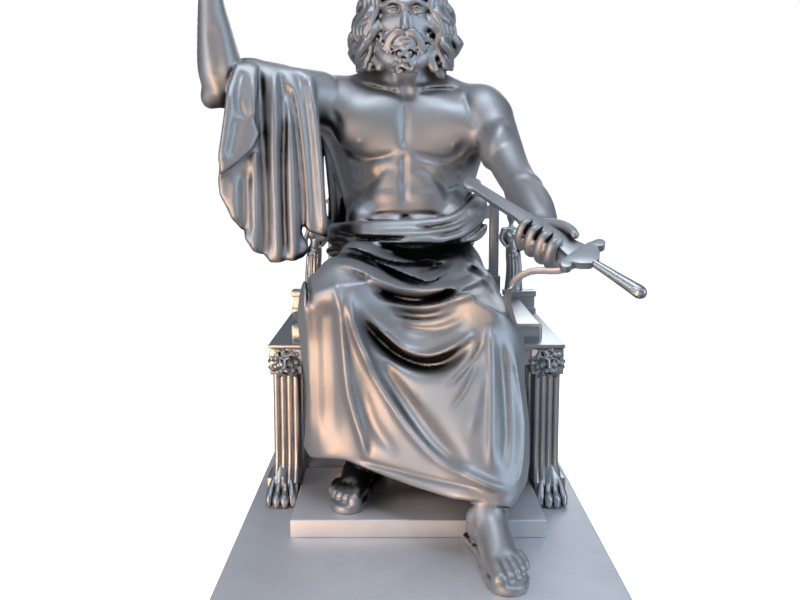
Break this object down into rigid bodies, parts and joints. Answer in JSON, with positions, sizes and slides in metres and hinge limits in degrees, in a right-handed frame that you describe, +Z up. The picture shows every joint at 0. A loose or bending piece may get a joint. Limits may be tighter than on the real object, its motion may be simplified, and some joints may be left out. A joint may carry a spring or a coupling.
{
  "type": "seated god statue",
  "caption": "Bronze statue of a bearded god seated on a lion-legged throne, one arm raised, a sheathed sword in the other hand, on a low plinth.",
  "frame": {"origin": "middle of the plinth's underside", "axes": "front faces -Y, +X to the viewer's right, +Z up"},
  "size_m": [2.1182, 2.52, 3.2722],
  "materials": {
    "plinth_metal": "satin silver-grey bronze",
    "footstep_metal": "satin silver-grey bronze",
    "throne_metal": "satin silver-grey bronze, dark in the hollows",
    "figure_metal": "satin silver-grey bronze, dark in the hollows",
    "sword_metal": "satin silver-grey bronze",
    "corner_figure_metal": "satin silver-grey bronze, dark in the hollows"
  },
  "bodies": {
    "root": {"plinth": "plinth_metal", "footstep": "footstep_metal", "throne": "throne_metal", "figure": "figure_metal", "sword": "sword_metal", "corner_figure_left": "corner_figure_metal", "corner_figure_right": "corner_figure_metal"}
  },
  "joints": []
}
